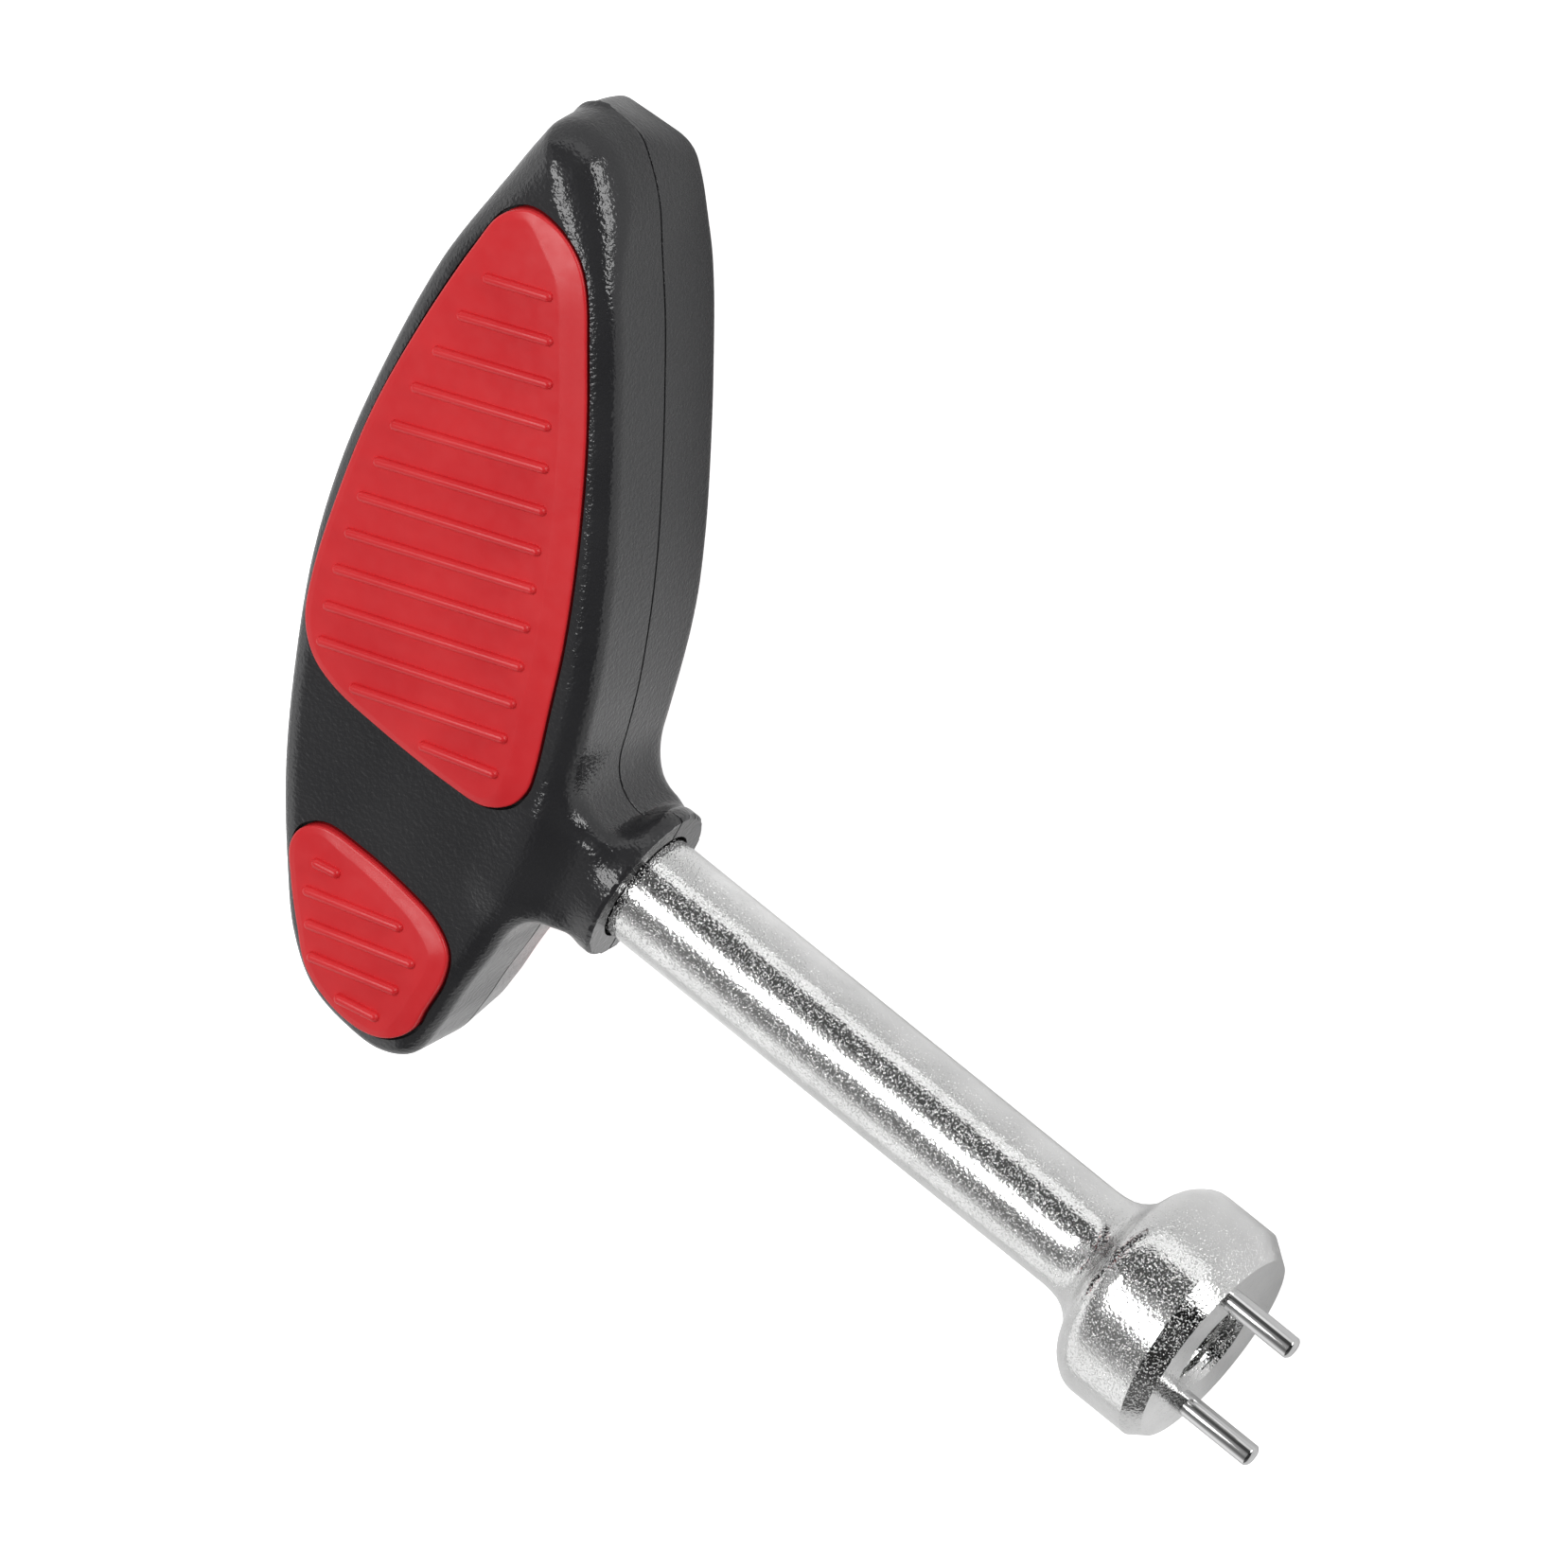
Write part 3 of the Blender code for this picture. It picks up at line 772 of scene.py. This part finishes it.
def red_elastomer():
    """Soft satin red, a little uneven in colour and gloss."""
    made, tree, surface = shader("red_satin_elastomer")
    patches = noise(tree, 120.0, 3.0)
    colour = ramp(tree, patches, ((0.3, (0.69, 0.022, 0.029)), (0.7, (0.76, 0.032, 0.038))))
    tree.links.new(colour, surface.inputs["Base Color"])
    surface.inputs["Specular IOR Level"].default_value = 0.4
    grain = noise(tree, 2600.0, 2.0)
    tree.links.new(spread(tree, noise(tree, 700.0), 0.28, 0.38), surface.inputs["Roughness"])
    tree.links.new(bump(tree, grain, 0.25, 0.00003), surface.inputs["Normal"])
    return made


def plated_casting():
    """Bright plating over a cast skin: shallow waves, peel, and raised specks."""
    made, tree, surface = shader("plated_casting")
    surface.inputs["Metallic"].default_value = 1.0
    patches = noise(tree, 260.0, 3.0)
    colour = ramp(tree, patches, ((0.3, (0.74, 0.74, 0.735)), (0.7, (0.84, 0.84, 0.835))))
    tree.links.new(colour, surface.inputs["Base Color"])
    tree.links.new(spread(tree, noise(tree, 900.0), 0.03, 0.07), surface.inputs["Roughness"])
    skin = bump(tree, noise(tree, 420.0, 2.0), 0.3, 0.00002)
    peel = bump(tree, noise(tree, 3000.0, 1.0, 0.5), 1.0, 0.00003, skin)
    specks = spread(tree, noise(tree, 5200.0, 1.0, 0.5), 0.0, 1.0, 0.56, 0.68)
    tree.links.new(bump(tree, specks, 1.0, 0.00003, peel), surface.inputs["Normal"])
    return made


def ground_steel():
    """Polished bar, with faint lines along it."""
    made, tree, surface = shader("ground_steel")
    surface.inputs["Metallic"].default_value = 1.0
    lines = noise(tree, 1200.0, 2.0, 0.5, (0.04, 1.0, 1.0))
    colour = ramp(tree, lines, ((0.3, (0.62, 0.62, 0.62)), (0.7, (0.74, 0.74, 0.74))))
    tree.links.new(colour, surface.inputs["Base Color"])
    tree.links.new(spread(tree, lines, 0.06, 0.14), surface.inputs["Roughness"])
    tree.links.new(bump(tree, lines, 0.2, 0.00001), surface.inputs["Normal"])
    return made


# ---------------------------------------------------------------- stage
# Camera distance and floor in metres, lens and sensor in millimetres.
CAMERA_DISTANCE = 3.3898
LENS = 869.0
SENSOR = 36.0
COLLAR_IN_VIEW = (-0.012839, -0.008788)
AWAY_IN_VIEW = (-0.2486, -0.5117, -0.8224)
RIGHT_IN_VIEW = (0.7539, 0.4308, -0.4960)
FLOOR_HALF = 8.0
FLOOR_SEEN = 1.05
# Painted floor light, a glow for all but camera rays: how far (low, high) runs over (start, stop),
# a painted pool of light by the neck and a painted glow over the far side.
POOL_CENTRE = (-0.032, -0.026, 0.0)
PAINTED_POOL_GLOW = (0.45, 0.0, 0.012, 0.04)
PAINTED_FLOOR_GLOW = (0.12, 0.0, 0.0, 0.05)
# The studio's brightness by angle about the shank, from the far side over to the near one.
STUDIO_ROUND = (
    (0.0, 0.8), (0.03, 1.1), (0.12, 1.1), (0.14, 0.12), (0.29, 0.09), (0.34, 0.3), (0.4, 0.5),
    (0.55, 0.36), (0.59, 0.2), (0.67, 0.22), (0.76, 0.5), (0.83, 1.05), (1.0, 1.0),
)
STUDIO_ALONG = (1.0, 0.12, 0.05, 0.4)
# Lights: place, size, radiance.
OVERHEAD = ((-0.175, 0.083, 0.69), (0.23, 0.62), 6.0)
SIDE = ((0.62, 0.70, 0.17), (0.6, 0.26), 6.5)
CENTRE = (0.0, 0.0, 0.01)


def stage():
    """A pale floor that looks plain white to the camera; for every other ray it glows with painted
    light, dimmer than it shows, that lights the piece from below: most by the neck, least beyond
    the far side."""
    corners = [(x * FLOOR_HALF, y * FLOOR_HALF, 0) for x, y in ((-1, -1), (1, -1), (1, 1), (-1, 1))]
    mesh = new_mesh("floor", corners, [(0, 1, 2, 3)])
    floor = add("floor", mesh)
    look, tree, surface = shader("pale_floor")
    surface.inputs["Base Color"].default_value = (0.8, 0.8, 0.8, 1)
    surface.inputs["Roughness"].default_value = 0.9
    surface.inputs["Emission Color"].default_value = (1, 1, 1, 1)
    place = tree.nodes.new("ShaderNodeTexCoord").outputs["Object"]
    away = tree.nodes.new("ShaderNodeVectorMath")
    away.operation = "DISTANCE"
    away.inputs[1].default_value = POOL_CENTRE
    tree.links.new(place, away.inputs[0])
    apart = tree.nodes.new("ShaderNodeSeparateXYZ")
    tree.links.new(place, apart.inputs["Vector"])
    # painted light: the floor's glow for non-camera rays, a pool round the neck plus a glow that
    # fades towards the far side
    lit = tree.nodes.new("ShaderNodeMath")
    tree.links.new(spread(tree, away.outputs["Value"], *PAINTED_POOL_GLOW), lit.inputs[0])
    tree.links.new(spread(tree, apart.outputs["Y"], *PAINTED_FLOOR_GLOW), lit.inputs[1])
    seen = tree.nodes.new("ShaderNodeLightPath").outputs["Is Camera Ray"]
    glow = tree.nodes.new("ShaderNodeMapRange")
    glow.inputs["To Max"].default_value = FLOOR_SEEN
    tree.links.new(lit.outputs["Value"], glow.inputs["To Min"])
    tree.links.new(seen, glow.inputs["Value"])
    tree.links.new(glow.outputs["Result"], surface.inputs["Emission Strength"])
    mesh.materials.append(look)


def soft_light(name, place, size, radiance):
    data = bpy.data.lights.new(name, "AREA")
    data.shape = "RECTANGLE"
    data.size, data.size_y = size
    data.energy = radiance * math.pi * size[0] * size[1]
    lamp = bpy.data.objects.new(name, data)
    bpy.context.scene.collection.objects.link(lamp)
    lamp.location = place
    lamp.rotation_mode = "QUATERNION"
    lamp.rotation_quaternion = (Vector(place) - Vector(CENTRE)).to_track_quat("Z", "Y")


def lights():
    """A soft box overhead, one low at the far side, and a studio whose walls are light low down
    and dark higher up."""
    soft_light("overhead", *OVERHEAD)
    soft_light("side", *SIDE)
    world = bpy.data.worlds.new("studio")
    world.use_nodes = True
    bpy.context.scene.world = world
    tree = world.node_tree
    direction = tree.nodes.new("ShaderNodeTexCoord").outputs["Generated"]
    apart = tree.nodes.new("ShaderNodeSeparateXYZ")
    tree.links.new(direction, apart.inputs["Vector"])
    angle = tree.nodes.new("ShaderNodeMath")
    angle.operation = "ARCTAN2"
    tree.links.new(apart.outputs["Z"], angle.inputs[0])
    tree.links.new(apart.outputs["Y"], angle.inputs[1])
    share = spread(tree, angle.outputs["Value"], 0.0, 1.0, 0.0, math.pi)
    walls = ramp(tree, share, [(at, (v, v, v)) for at, v in STUDIO_ROUND])
    shade = tree.nodes["Background"]
    tree.links.new(walls, shade.inputs["Color"])
    far_end = spread(tree, apart.outputs["X"], *STUDIO_ALONG)
    tree.links.new(far_end, shade.inputs["Strength"])


def camera():
    data = bpy.data.cameras.new("camera")
    data.lens = LENS
    data.sensor_width = SENSOR
    eye = bpy.data.objects.new("camera", data)
    bpy.context.scene.collection.objects.link(eye)
    eye.matrix_world = camera_matrix()
    bpy.context.scene.camera = eye
    bpy.context.scene.view_settings.view_transform = "Standard"


def camera_matrix():
    """The camera's place and turn: the view plane's right and up, met by the spanner's axes."""
    away = Vector(AWAY_IN_VIEW).normalized()
    right = Vector(RIGHT_IN_VIEW)
    right = (right - away * away.dot(right)).normalized()
    up = right.cross(away)
    eye = ORIGIN - away * CAMERA_DISTANCE - right * COLLAR_IN_VIEW[0] - up * COLLAR_IN_VIEW[1]
    turn = Matrix((right, up, -away)).transposed().to_4x4()
    return Matrix.Translation(eye) @ turn


plastic = black_plastic()
rubber = red_elastomer()
handle_shells(plastic)
for label, side in (("front", 1), ("rear", -1)):
    grip_pad(label, "large", side, LARGE_PAD, LARGE_RIBS, rubber)
    grip_pad(label, "small", side, SMALL_PAD, SMALL_RIBS, rubber)
shank(plated_casting())
steel = ground_steel()
drive_pin("upper", 1.0, steel)
drive_pin("lower", -1.0, steel)
stage()
lights()
camera()
